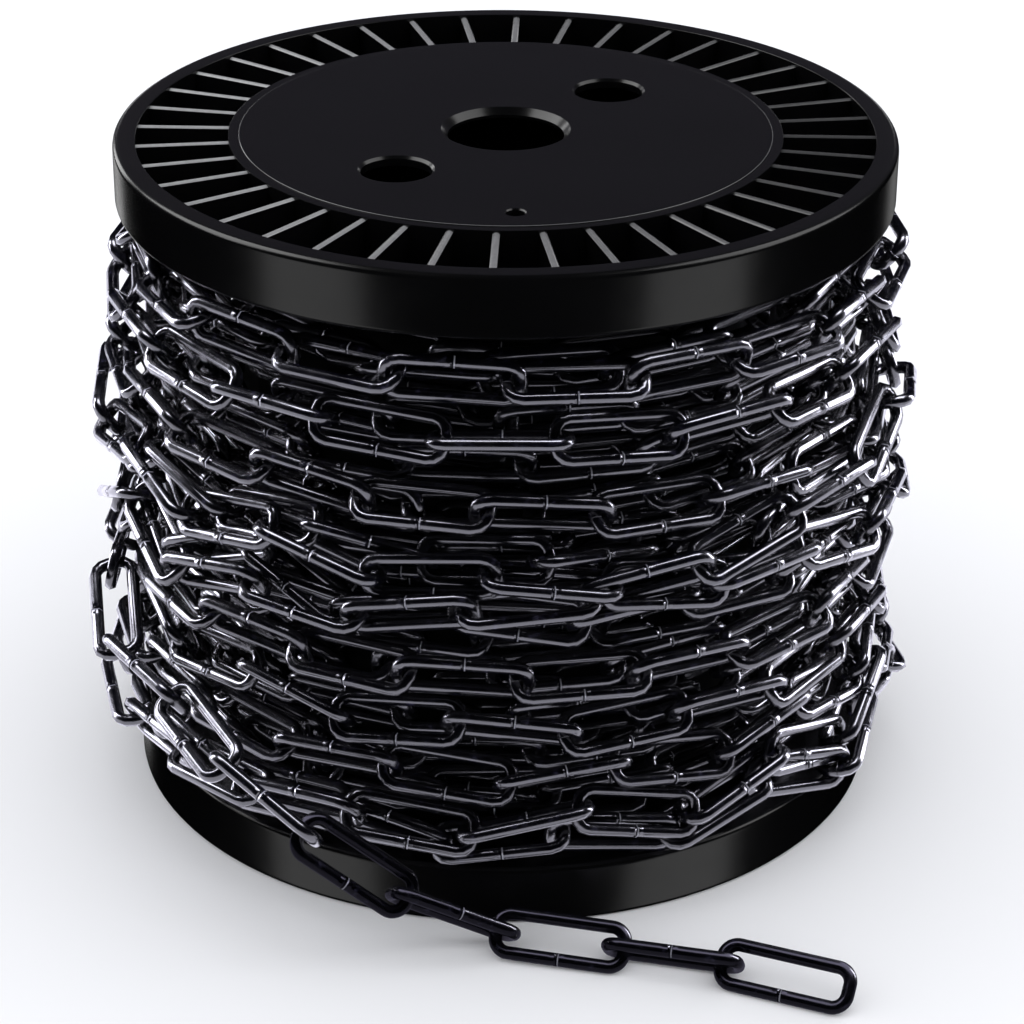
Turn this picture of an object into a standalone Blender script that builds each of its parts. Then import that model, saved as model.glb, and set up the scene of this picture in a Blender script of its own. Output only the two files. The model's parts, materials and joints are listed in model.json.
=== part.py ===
"""Reel of black long-link chain, standing on its end, with a loose tail of links.

All lengths are in metres and +Z is up. The origin is on the floor, in the middle of the
ground that the reel and its tail cover. Azimuths are in degrees round the reel's axis,
counted from +X towards +Y, so the front of the reel is at -90 degrees.
"""
import math

import bmesh
import bpy
from mathutils import Matrix, Vector

# Clearance that pressed, laid or interlocked pieces keep to each other
FIT_GAP = 0.0003

# Place of the reel's axis: behind the origin, because the tail lies in front
REEL_AXIS_X = 0.0
REEL_AXIS_Y = 0.0147

# Reel
FLANGE_RADIUS = 0.090
REEL_HEIGHT = 0.158
RIM_HEIGHT = 0.0144
RIM_ROUNDING = 0.0014
RECESS_OUTER_RADIUS = 0.0848
HUB_RADIUS = 0.0637
WALL = 0.0022
HUB_INNER_RADIUS = HUB_RADIUS - WALL
DISC_LINE_RADIUS = 0.0613
DISC_LINE_DEPTH = 0.0003
FLANGE_SIDES = 64

# Ribs that stand in each flange's ring-shaped recess
RIB_COUNT = 40
FIRST_RIB_AZIMUTH = -1.8
RIB_THICKNESS = 0.0016
RIB_TOP_DROP = 0.0006
RIB_ROOT = 0.0006

# Holes through the discs
SPINDLE_HOLE_RADIUS = 0.0134
DRIVE_HOLE_RADIUS = 0.0080
DRIVE_HOLE_REACH = 0.0363
DRIVE_HOLE_AZIMUTH = 48.1
SMALL_HOLE_RADIUS = 0.0021
SMALL_HOLE_REACH = 0.0533
SMALL_HOLE_AZIMUTH = -87.5

# Tube between the flanges, and the flange spigots that sit in it
BARREL_WALL = 0.0024
BARREL_INNER_RADIUS = HUB_RADIUS - BARREL_WALL
SPIGOT_RADIUS = BARREL_INNER_RADIUS - FIT_GAP
SPIGOT_INNER_RADIUS = SPIGOT_RADIUS - 0.0020
SPIGOT_LENGTH = 0.006

# Chain: straight-sided welded links of round wire
WIRE_DIAMETER = 0.003
LINK_LENGTH = 0.032
LINK_WIDTH = 0.012
LINK_PLAY = 0.0006
LINK_PITCH = LINK_LENGTH - 2 * WIRE_DIAMETER - LINK_PLAY
LINK_END_STEPS = 6
FLOOR_REST = 0.0047

# Wound chain: hidden layers as a plain core, and the outermost layer with its turns
CORE_OUTER_RADIUS = 0.0805
LAYER_INNER_RADIUS = CORE_OUTER_RADIUS + FIT_GAP
TURN_COUNT = 12
LINKS_PER_TURN = 22
COLUMNS_PER_LINK = 3
LINES_PER_TURN = 4
GAP_RADIUS = 0.0848
EYE_RADIUS = 0.0870
WIRE_RADIUS_OUT = 0.0960
JOINT_RADIUS = 0.0925
END_TURN_DRAW_IN = 0.0025

# The tail's centre line: azimuth, distance from the reel's axis, height
TAIL_ROUTE = (
    (-151.6, 0.1012, 0.0475),
    (-137.2, 0.1012, 0.0457),
    (-124.2, 0.1095, 0.0422),
    (-112.2, 0.1115, 0.0318),
    (-102.0, 0.1059, 0.0163),
    (-89.6, 0.1012, FLOOR_REST + 0.0006),
    (-76.5, 0.1093, FLOOR_REST),
    (-65.8, 0.1228, FLOOR_REST),
    (-58.7, 0.1421, FLOOR_REST),
    (-53.6, 0.1632, FLOOR_REST),
)
TAIL_LINK_COUNT = 8
ROUTE_STEPS = 60
# Side of the link planes that lean towards the front, half way between upright and flat
TAIL_LEAN = Vector((-0.25, -0.66, 0.71))

# Material colours, roughness and metallic value
REEL_PLASTIC = ("black_moulded_plastic", (0.012, 0.012, 0.014, 1.0), 0.38, 0.0)
BARREL_PLASTIC = ("black_tube_plastic", (0.010, 0.010, 0.011, 1.0), 0.50, 0.0)
CHAIN_COAT = ("black_coated_steel", (0.012, 0.011, 0.018, 1.0), 0.25, 0.6)


def clear_scene():
    """Remove every object that the new file holds."""
    for thing in list(bpy.data.objects):
        bpy.data.objects.remove(thing, do_unlink=True)


def make_material(finish):
    """Plain surface with a colour, a roughness and a metallic value."""
    name, colour, roughness, metallic = finish
    material = bpy.data.materials.new(name)
    material.use_nodes = True
    shader = material.node_tree.nodes["Principled BSDF"]
    shader.inputs["Base Color"].default_value = colour
    shader.inputs["Roughness"].default_value = roughness
    shader.inputs["Metallic"].default_value = metallic
    return material


def polar(radius, azimuth, height):
    """Point at an azimuth in degrees round the reel's axis."""
    angle = math.radians(azimuth)
    return Vector((radius * math.cos(angle), radius * math.sin(angle), height))


def place_object(name, data, parent, place=None):
    """Object that holds some data, placed in its parent's frame."""
    thing = bpy.data.objects.new(name, data)
    bpy.context.collection.objects.link(thing)
    thing.parent = parent
    if place:
        thing.matrix_basis = place
    return thing


def closed_mesh(name, shape, material=None):
    """Mesh of a bmesh with its faces pointing out, and its material."""
    mesh = bpy.data.meshes.new(name)
    bmesh.ops.recalc_face_normals(shape, faces=shape.faces)
    shape.to_mesh(mesh)
    shape.free()
    if material:
        mesh.materials.append(material)
    return mesh


def add_helper(name, shape, parent):
    """Hidden solid that cuts its parent or is joined to it."""
    helper = place_object(name, closed_mesh(name, shape), parent)
    helper.hide_render = True
    helper.display_type = "WIRE"
    return helper


def smooth_round_faces(thing, sharp_above=30.0):
    """Shade a round piece smooth, with its edges kept sharp."""
    thing.data.shade_smooth()
    thing.data.set_sharp_from_angle(angle=math.radians(sharp_above))


def ring_of_sections(sections):
    """Closed ring skinned over a list of closed sections with equal point counts."""
    shape = bmesh.new()
    loops = [[shape.verts.new(point) for point in section] for section in sections]
    for index, loop in enumerate(loops):
        following = loops[(index + 1) % len(loops)]
        for place in range(len(loop)):
            ahead = (place + 1) % len(loop)
            shape.faces.new((loop[place], loop[ahead], following[ahead], following[place]))
    return shape


def turned_ring(outline, sides):
    """Ring turned about Z from a closed outline of (radius, height) points."""
    sections = []
    for step in range(sides):
        azimuth = 360.0 * step / sides
        sections.append([polar(radius, azimuth, height) for radius, height in outline])
    return ring_of_sections(sections)


def round_bar(radius, centre, depth, sides):
    """Upright cylinder that cuts a hole along Z."""
    shape = bmesh.new()
    bmesh.ops.create_cone(shape, cap_ends=True, segments=sides, radius1=radius, radius2=radius,
                          depth=depth, matrix=Matrix.Translation(centre))
    return shape


def add_boolean(thing, helper, operation):
    """Cut or join a hidden helper with an exact Boolean."""
    change = thing.modifiers.new(helper.name, "BOOLEAN")
    change.operation = operation
    change.solver = "EXACT"
    change.object = helper


def flange_outline():
    """Half section of a flange, with the winding side at Z = 0 and the outer face on top."""
    corner = RIM_ROUNDING * (1 - math.sqrt(0.5))
    return [
        (SPIGOT_RADIUS, 0.0),
        (SPIGOT_RADIUS, -SPIGOT_LENGTH),
        (SPIGOT_INNER_RADIUS, -SPIGOT_LENGTH),
        (SPIGOT_INNER_RADIUS, WALL),
        (HUB_INNER_RADIUS, WALL),
        (HUB_INNER_RADIUS, RIM_HEIGHT - WALL),
        (SPINDLE_HOLE_RADIUS, RIM_HEIGHT - WALL),
        (SPINDLE_HOLE_RADIUS, RIM_HEIGHT),
        (DISC_LINE_RADIUS, RIM_HEIGHT),
        (DISC_LINE_RADIUS + DISC_LINE_DEPTH, RIM_HEIGHT - DISC_LINE_DEPTH),
        (HUB_RADIUS, RIM_HEIGHT - DISC_LINE_DEPTH),
        (HUB_RADIUS, WALL),
        (RECESS_OUTER_RADIUS, WALL),
        (RECESS_OUTER_RADIUS, RIM_HEIGHT),
        (FLANGE_RADIUS - RIM_ROUNDING, RIM_HEIGHT),
        (FLANGE_RADIUS - corner, RIM_HEIGHT - corner),
        (FLANGE_RADIUS, RIM_HEIGHT - RIM_ROUNDING),
        (FLANGE_RADIUS, RIM_ROUNDING),
        (FLANGE_RADIUS - RIM_ROUNDING, 0.0),
    ]


def recess_ribs():
    """Thin radial walls between the hub and the rim."""
    low = WALL - RIB_ROOT
    high = RIM_HEIGHT - RIB_TOP_DROP
    inner = HUB_RADIUS - RIB_ROOT
    outer = RECESS_OUTER_RADIUS + RIB_ROOT
    size = Vector((outer - inner, RIB_THICKNESS, high - low))
    centre = Vector(((inner + outer) / 2, 0.0, (low + high) / 2))
    shape = bmesh.new()
    for step in range(RIB_COUNT):
        azimuth = math.radians(FIRST_RIB_AZIMUTH + 360.0 * step / RIB_COUNT)
        turn = Matrix.Rotation(azimuth, 4, "Z")
        place = turn @ Matrix.Translation(centre) @ Matrix.Diagonal((*size, 1.0))
        bmesh.ops.create_cube(shape, size=1.0, matrix=place)
    return shape


def cut_disc_holes(flange):
    """Two drive holes, opposite each other, and one small hole that holds the chain's start."""
    depth = 3 * WALL
    height = RIM_HEIGHT - WALL / 2
    holes = (
        ("_drive_hole_back", DRIVE_HOLE_RADIUS, DRIVE_HOLE_REACH, DRIVE_HOLE_AZIMUTH, 24),
        ("_drive_hole_front", DRIVE_HOLE_RADIUS, DRIVE_HOLE_REACH, DRIVE_HOLE_AZIMUTH + 180, 24),
        ("_small_hole", SMALL_HOLE_RADIUS, SMALL_HOLE_REACH, SMALL_HOLE_AZIMUTH, 12),
    )
    for name, radius, reach, azimuth, sides in holes:
        bar = round_bar(radius, polar(reach, azimuth, height), depth, sides)
        add_boolean(flange, add_helper(flange.name + name, bar, flange), "DIFFERENCE")


def make_flange(name, material, parent, place):
    """One flange moulding at its place on the reel."""
    mesh = closed_mesh(name, turned_ring(flange_outline(), FLANGE_SIDES), material)
    flange = place_object(name, mesh, parent, place)
    add_boolean(flange, add_helper(name + "_ribs", recess_ribs(), flange), "UNION")
    cut_disc_holes(flange)
    smooth_round_faces(flange)


def make_reel(material, barrel_material, parent):
    """Two like flanges and the tube between them."""
    low = RIM_HEIGHT
    high = REEL_HEIGHT - RIM_HEIGHT
    turn_over = Matrix.Rotation(math.pi, 4, polar(1.0, DRIVE_HOLE_AZIMUTH, 0.0))
    make_flange("flange_top", material, parent, Matrix.Translation((0, 0, high)))
    make_flange("flange_bottom", material, parent, Matrix.Translation((0, 0, low)) @ turn_over)
    add_tube("barrel", BARREL_INNER_RADIUS, HUB_RADIUS, barrel_material, parent)


def add_tube(name, inner, outer, material, parent):
    """Plain ring that fills the height between the flanges."""
    low, high = winding_ends()
    outline = [(inner, low), (outer, low), (outer, high), (inner, high)]
    tube = place_object(name, closed_mesh(name, turned_ring(outline, FLANGE_SIDES), material),
                        parent)
    smooth_round_faces(tube)


def winding_ends():
    """Lowest and highest level of the wound chain."""
    return RIM_HEIGHT + FIT_GAP, REEL_HEIGHT - RIM_HEIGHT - FIT_GAP


def layer_radius(turn, line, column):
    """Surface of the outermost layer: wires, link eyes, joints and the gaps between turns.

    Every second link shows its open oval, two wires with an eye between them. The links
    between are seen on edge, as one wire. Each turn is shifted by a column from the last.
    """
    if line == 0:
        return GAP_RADIUS
    place = column + turn * (COLUMNS_PER_LINK - 1)
    at_joint = place % COLUMNS_PER_LINK == 0
    shows_eye = (place // COLUMNS_PER_LINK) % 2 == 0
    middle = line == LINES_PER_TURN // 2
    if at_joint:
        return JOINT_RADIUS if middle else EYE_RADIUS
    if shows_eye:
        return EYE_RADIUS if middle else WIRE_RADIUS_OUT
    return WIRE_RADIUS_OUT if middle else GAP_RADIUS


def make_chain_layer(material, parent):
    """Outermost layer of the winding, one ring with its gaps cut into the outer face."""
    low, high = winding_ends()
    columns = LINKS_PER_TURN * COLUMNS_PER_LINK
    turn_height = (high - low) / TURN_COUNT
    sections = []
    for column in range(columns):
        azimuth = 360.0 * column / columns
        section = [polar(LAYER_INNER_RADIUS, azimuth, low)]
        for turn in range(TURN_COUNT):
            draw_in = END_TURN_DRAW_IN if turn in (0, TURN_COUNT - 1) else 0.0
            for line in range(LINES_PER_TURN):
                radius = layer_radius(turn, line, column)
                radius = max(GAP_RADIUS, radius - draw_in)
                height = low + turn_height * (turn + line / LINES_PER_TURN)
                section.append(polar(radius, azimuth, height))
        section.append(polar(GAP_RADIUS, azimuth, high))
        section.append(polar(LAYER_INNER_RADIUS, azimuth, high))
        sections.append(section)
    mesh = closed_mesh("chain_layer_outer", ring_of_sections(sections), material)
    smooth_round_faces(place_object("chain_layer_outer", mesh, parent), sharp_above=50.0)


def link_curve(material):
    """One welded link lying in its XY plane, long side along X: two straights, two half turns."""
    end_radius = (LINK_WIDTH - WIRE_DIAMETER) / 2
    straight_half = (LINK_LENGTH - LINK_WIDTH) / 2
    curve = bpy.data.curves.new("chain_link", "CURVE")
    curve.dimensions = "3D"
    curve.bevel_depth = WIRE_DIAMETER / 2
    curve.bevel_resolution = 2
    curve.use_fill_caps = True
    curve.materials.append(material)
    path = curve.splines.new("POLY")
    points = []
    for side in (1, -1):
        for step in range(LINK_END_STEPS + 1):
            angle = math.pi * (step / LINK_END_STEPS - 0.5)
            x = side * (straight_half + end_radius * math.cos(angle))
            y = side * end_radius * math.sin(angle)
            points.append((x, y, 0.0, 1.0))
    path.points.add(len(points) - 1)
    for knot, point in zip(path.points, points):
        knot.co = point
    path.use_cyclic_u = True
    return curve


def smooth_route(knots):
    """Points close together on a smooth curve through the route's own points."""
    ends = [2 * knots[0] - knots[1], *knots, 2 * knots[-1] - knots[-2]]
    points = []
    for before, start, end, after in zip(ends, ends[1:], ends[2:], ends[3:]):
        for step in range(ROUTE_STEPS):
            t = step / ROUTE_STEPS
            a = 2 * start
            b = (end - before) * t
            c = (2 * before - 5 * start + 4 * end - after) * t ** 2
            d = (3 * start - before - 3 * end + after) * t ** 3
            points.append((a + b + c + d) / 2)
    return points


def joints_along(points, count):
    """Places where the links meet: one link pitch apart, measured straight."""
    joints = [points[0]]
    for point in points:
        if len(joints) <= count and (point - joints[-1]).length >= LINK_PITCH:
            reach = (point - joints[-1]).normalized() * LINK_PITCH
            joints.append(joints[-1] + reach)
    return joints


def make_tail(material, parent):
    """Loose links, each turned a quarter turn from the one before it."""
    knots = [polar(radius, azimuth, height) for azimuth, radius, height in TAIL_ROUTE]
    joints = joints_along(smooth_route(knots), TAIL_LINK_COUNT)
    curve = link_curve(material)
    for index, (start, end) in enumerate(zip(joints, joints[1:])):
        along = (end - start).normalized()
        across = along.cross(TAIL_LEAN).normalized()
        normal = across.cross(along)
        if index % 2 == 0:
            normal = across
        turn = Matrix((along, normal.cross(along), normal)).transposed()
        place = Matrix.Translation((start + end) / 2) @ turn.to_4x4()
        place_object("tail_link_%d" % (index + 1), curve, parent, place)


def main():
    clear_scene()
    reel_axis = place_object("reel_axis", None, None,
                             Matrix.Translation((REEL_AXIS_X, REEL_AXIS_Y, 0.0)))
    make_reel(make_material(REEL_PLASTIC), make_material(BARREL_PLASTIC), reel_axis)
    coat = make_material(CHAIN_COAT)
    add_tube("chain_core", HUB_RADIUS + FIT_GAP, CORE_OUTER_RADIUS, coat, reel_axis)
    make_chain_layer(coat, reel_axis)
    make_tail(coat, reel_axis)


main()
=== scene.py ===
"""Looks of a black plastic reel wound with black long-link chain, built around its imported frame.

All lengths are in metres and +Z is up. The origin is on the floor, under the reel and its tail.
Azimuths are counted round the reel's axis, from +X towards +Y, so the front is at -90 degrees.
"""

import json
import math

import bmesh
import bpy
import numpy as np
from mathutils import Matrix, Vector

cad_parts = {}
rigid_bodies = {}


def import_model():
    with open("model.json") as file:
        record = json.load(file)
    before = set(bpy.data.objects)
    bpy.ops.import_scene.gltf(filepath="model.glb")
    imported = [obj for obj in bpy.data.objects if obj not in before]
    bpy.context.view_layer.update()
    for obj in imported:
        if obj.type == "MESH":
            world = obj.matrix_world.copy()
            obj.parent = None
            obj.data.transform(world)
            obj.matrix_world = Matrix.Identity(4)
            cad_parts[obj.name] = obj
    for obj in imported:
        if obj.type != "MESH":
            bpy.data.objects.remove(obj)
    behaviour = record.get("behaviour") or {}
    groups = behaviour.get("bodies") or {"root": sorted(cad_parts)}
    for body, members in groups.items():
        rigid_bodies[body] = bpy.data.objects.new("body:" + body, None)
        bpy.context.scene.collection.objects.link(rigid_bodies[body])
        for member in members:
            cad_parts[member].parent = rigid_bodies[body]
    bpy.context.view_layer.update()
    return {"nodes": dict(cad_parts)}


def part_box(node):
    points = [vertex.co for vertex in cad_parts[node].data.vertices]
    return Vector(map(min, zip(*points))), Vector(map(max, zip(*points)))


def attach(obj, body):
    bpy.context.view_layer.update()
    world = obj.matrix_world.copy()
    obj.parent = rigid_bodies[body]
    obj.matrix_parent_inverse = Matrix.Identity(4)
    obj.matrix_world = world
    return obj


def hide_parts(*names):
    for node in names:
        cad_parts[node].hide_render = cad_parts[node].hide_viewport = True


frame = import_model()

# Reel, measured on its frame
TOP_LOW, TOP_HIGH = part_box("flange_top")
SPIGOT_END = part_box("flange_bottom")[1].z
BARREL_LOW, BARREL_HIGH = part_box("barrel")
AXIS = Vector(((TOP_LOW.x + TOP_HIGH.x) / 2, (TOP_LOW.y + TOP_HIGH.y) / 2, 0.0))
REEL_HEIGHT = TOP_HIGH.z
FLANGE_RADIUS = (TOP_HIGH.x - TOP_LOW.x) / 2
BARREL_RADIUS = (BARREL_HIGH.x - BARREL_LOW.x) / 2
FIT_GAP = 0.0003
RIM_HEIGHT = BARREL_LOW.z - FIT_GAP
SPIGOT_LENGTH = SPIGOT_END - RIM_HEIGHT

# Flange moulding
FLANGE_SIDES = 160
RIM_ROUNDING = 0.0014
RECESS_RADIUS = 0.0848
WALL = 0.0022
HUB_RADIUS = BARREL_RADIUS
HUB_INNER_RADIUS = HUB_RADIUS - WALL
SPIGOT_RADIUS = 0.0610
SPIGOT_INNER_RADIUS = 0.0590
LIP_ROUNDING = 0.0002
HUB_ROUNDING = 0.00015
DISC_RADIUS = 0.0613
DISC_STEP = 0.0002
DISC_ROUNDING = 0.00018
RIB_COUNT = 40
FIRST_RIB_AZIMUTH = -1.6
RIB_THICKNESS = 0.0016
RIB_TOP_DROP = 0.0006
RIB_ROOT = 0.0006
# Crown of a rib's top: rise and share of the width left, step by step
RIB_CROWN = ((0.00016, 0.76), (0.00013, 0.50), (0.00008, 0.20))
CROWN_RISE = sum(rise for rise, _ in RIB_CROWN)
# Least Z of the normal of a level face, and of a face on a rib's crown
LEVEL = 0.9
CROWN_SLOPE = 0.3

# Painted highlight, pale base colour that stands in for light: its share on the rib tops on average
# and from side to side, lighter at the left, and on the disc's edge with the depth from which it counts
RIB_PAINTED_HIGHLIGHT = 0.60
RIB_HIGHLIGHT_SWING = 0.45
DISC_EDGE_HIGHLIGHT_SHARE = 0.35
DISC_EDGE_DEPTH = DISC_ROUNDING / 20

# Holes through each disc: radius, chamfer, distance from the axis, azimuth in degrees, sides
DRIVE_AZIMUTH = 48.1
HOLES = (
    (0.0134, 0.0015, 0.0, 0.0, 96),
    (0.0080, 0.0006, 0.0363, DRIVE_AZIMUTH, 64),
    (0.0080, 0.0006, 0.0363, DRIVE_AZIMUTH + 180, 64),
    (0.0021, 0.0003, 0.0533, -87.5, 32),
)

# Chain link of round wire
WIRE_RADIUS = 0.0015
LINK_LENGTH = 0.032
LINK_WIDTH = 0.012
HALF_LENGTH = LINK_LENGTH / 2 - WIRE_RADIUS
HALF_WIDTH = LINK_WIDTH / 2 - WIRE_RADIUS
CORNER_RADIUS = 0.0033
HOOK_REACH = LINK_LENGTH / 2 - 2 * WIRE_RADIUS
HOOK_PLAY = 0.0002
PITCH = 2 * HOOK_REACH - HOOK_PLAY
WELDS_SHOWN = 0.8

# Tail: its links, those that hang in front of the winding, and how the winding leads into it
TAIL_LINK_COUNT = 8
HANGING_LINK_COUNT = 3
TAIL_HEIGHT = 0.0475
TAIL_LIFT = 0.0082
LIFT_COUNT = 18

# Winding: layer, radius, first height, last height and turns of each stretch, in winding order
SEED = 7
LOW_TURN = RIM_HEIGHT + 0.0052
HIGH_TURN = REEL_HEIGHT - RIM_HEIGHT - 0.0052
EDGE_TURN_RADIUS = 0.0945
STRETCHES = (
    (0, 0.0692, HIGH_TURN, LOW_TURN, 12.0),
    (1, 0.0790, LOW_TURN, HIGH_TURN, 11.6),
    (2, 0.0886, HIGH_TURN, LOW_TURN, 8.4),
    (3, EDGE_TURN_RADIUS, LOW_TURN, LOW_TURN, 1.0),
    (3, 0.0930, LOW_TURN, 0.1150, 1.2),
    (3, 0.0930, 0.1150, TAIL_HEIGHT, 1.5),
)
POINTS_A_TURN = 360
SMOOTHING_REACH = 15

# Drift of the turns in height, layer by layer: what neighbouring turns share, and their own
SWAY = (0.0010, 0.0020, 0.0030, 0.0)
SWAY_WAVES = (1, 2, 2, 3, 4)
SWAY_CLIMB = 35
OWN_WANDER = (0.0003, 0.0006, 0.00105, 0.0030)
OWN_WAVE_COUNT = 8
OWN_CYCLES = (0.6, 3.0)
PHASES = (0, 6.28)
# Share of the drift that is left at a flange, and the distance from it that adds a whole share
DRIFT_AT_FLANGE = 0.25
DRIFT_REACH = 0.016
# The turn along the bottom flange's edge: rise at the front and back, sag and bulge at the sides
EDGE_RISE = 0.0055
EDGE_SAG = 0.0115
EDGE_BULGE = 0.0018
# Roll of the links about their row in degrees, and its slow swings: radians a link, degrees
ROLL = 40
ROLL_SPREAD = 5
ROLL_SWINGS = ((0.17, 18), (0.43, 14))
ROLL_PHASES = (0, 6)

# Settling of the winding
SETTLING_STEPS = 500
SIDE_BEADS = 7
END_BEAD_AZIMUTHS = (-54, -18, 18, 54)
BEAD_RADIUS = 0.00162
PAIR_REACH = 0.0046
PAIR_REFRESH = 6
GRID_MIDDLE = 100
GRID_SIDE = 1000
CROWDING = 0.6
HOOK_SLACK = 0.00015
SKEW_ALLOWED = 0.25
UNTWISTING = 0.25
ROW_STIFFNESS = 0.35
STIFFNESS_LEFT = 0.1
STIFFNESS_FADE = 0.8
LARGEST_MOVE = 0.0012
LARGEST_SPIN = 0.12
OUTER_LIMIT = 0.0963
BACK_BULGE = 0.0012
NO_LIMIT = 1.0
NO_LENGTH = 1e-9

# Colours of plastic and chain
MOULDED_BLACK = (0.0013, 0.0013, 0.0016)
MOULDED_DARK, MOULDED_LIGHT = (0.0010, 0.0010, 0.0012), (0.0016, 0.0016, 0.0019)
# Pale grey of the painted highlight on the rib tops and the disc's edge
PAINTED_HIGHLIGHT_GREY = (0.20, 0.20, 0.205)
TUBE_BLACK = (0.0015, 0.0015, 0.0018)
COAT_BLACK = (0.006, 0.006, 0.009)
COAT_DARK, COAT_BLUISH = (0.0004, 0.0004, 0.0013), (0.0160, 0.0150, 0.0290)
# Grey of the painted highlight just beside each weld seam
WELD_SEAM_HIGHLIGHT_GREY = (0.16, 0.16, 0.18)

# Weld: where the painted highlight beside the seam starts and ends, how far its collar reaches and
# stands
# out, and the stops of both profiles: share of the way and level
SEAM_START, SEAM_END = 0.00012, 0.00052
COLLAR_REACH = 0.0022
COLLAR_HEIGHT = 0.00035
SEAM_STOPS = ((0.3, 1.0), (0.7, 1.0))
COLLAR_STOPS = ((0.07, 0.0), (0.24, 1.0), (0.42, 0.85), (0.75, 0.35))

# Floor, room, colours of the lights, and camera, whose target lies over the foot of the reel's axis
FLOOR_SIZE = 8.0
FLOOR_GREY = (0.83, 0.83, 0.84)
FLOOR_DARK, FLOOR_LIGHT = (0.82, 0.82, 0.83), (0.84, 0.84, 0.85)
ROOM_COLOUR = (0.96, 0.97, 1.0)
ROOM_STRENGTH = 1.4
WHITE, VIOLET = (1.0, 1.0, 1.0), (0.84, 0.80, 1.0)
BLUE, DEEP_VIOLET = (0.86, 0.85, 1.0), (0.74, 0.70, 1.0)
LIGHT_DISTANCE = 1.1
GLOW_DISTANCE = 0.12
SENSOR_MM = 36.0
LENS_MM = 112.37
CAMERA_ELEVATION = math.radians(26.524)
CAMERA_ROLL = math.radians(0.310)
CAMERA_DISTANCE = 0.7786
CAMERA_TARGET = AXIS + Vector((0.00189, 0, 0.05941))


def take_up(piece):
    """Select one piece only and make it the active one."""
    bpy.ops.object.select_all(action="DESELECT")
    piece.select_set(True)
    bpy.context.view_layer.objects.active = piece


def new_piece(name):
    """Name the primitive that was just added, with its place moved into its mesh."""
    piece = bpy.context.object
    piece.name = name
    piece.data.name = name
    take_up(piece)
    bpy.ops.object.transform_apply(location=True, rotation=True, scale=True)
    return piece


def pick(piece, kind, wanted):
    """In edit mode, select only the verts, edges or faces that pass a test."""
    bpy.ops.mesh.select_mode(type=kind)
    bpy.ops.mesh.select_all(action="DESELECT")
    shape = bmesh.from_edit_mesh(piece.data)
    parts = {"VERT": shape.verts, "EDGE": shape.edges, "FACE": shape.faces}[kind]
    for part in parts:
        if wanted(part):
            part.select_set(True)
    shape.select_flush(True)
    bmesh.update_edit_mesh(piece.data)


def pull(x, y, z):
    """Extrude what is selected and move it."""
    bpy.ops.mesh.extrude_region_move(TRANSFORM_OT_translate={"value": (x, y, z)})


def apply_modifier(piece, kind, **settings):
    """Add a modifier, set it and apply it."""
    take_up(piece)
    bpy.ops.object.modifier_add(type=kind)
    modifier = piece.modifiers[-1]
    for name, value in settings.items():
        setattr(modifier, name, value)
    bpy.ops.object.modifier_apply(modifier=modifier.name)


def finish_shading(piece, angle=32.0):
    """Shade a rigid piece smooth, with its flat faces kept flat."""
    take_up(piece)
    bpy.ops.object.shade_smooth_by_angle(angle=math.radians(angle))
    apply_modifier(piece, "WEIGHTED_NORMAL", keep_sharp=True)


def copy_piece(piece, name, place):
    """Copy of a piece with its own mesh, moved by a matrix."""
    twin = piece.copy()
    twin.data = piece.data.copy()
    twin.name = name
    twin.data.name = name
    bpy.context.collection.objects.link(twin)
    twin.data.transform(place)
    return twin


def join_pieces(pieces):
    """Join pieces into the first of them."""
    take_up(pieces[0])
    for piece in pieces[1:]:
        piece.select_set(True)
    bpy.ops.object.join()
    return pieces[0]


def dress(piece, material, slot, *nodes):
    """Give a piece its material and its body, and hide the nodes that it stands for. The slot is not
    used.
    """
    piece.data.materials.clear()
    piece.data.materials.append(material)
    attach(piece, "root")
    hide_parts(*nodes)


def flat_radius(point):
    """Distance of a point from the Z axis."""
    return math.hypot(point.x, point.y)


def faces_up(low, high, sign=1):
    """Test for level faces whose middle lies between two radii."""
    def wanted(face):
        if face.normal.z * sign < LEVEL:
            return False
        return low <= flat_radius(face.calc_center_median()) <= high
    return wanted


def circle_edges(radius, height, slack=0.00005):
    """Test for the edges of one level circle."""
    def wanted(edge):
        return all(
            abs(flat_radius(vert.co) - radius) < slack and abs(vert.co.z - height) < slack
            for vert in edge.verts
        )
    return wanted


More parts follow.
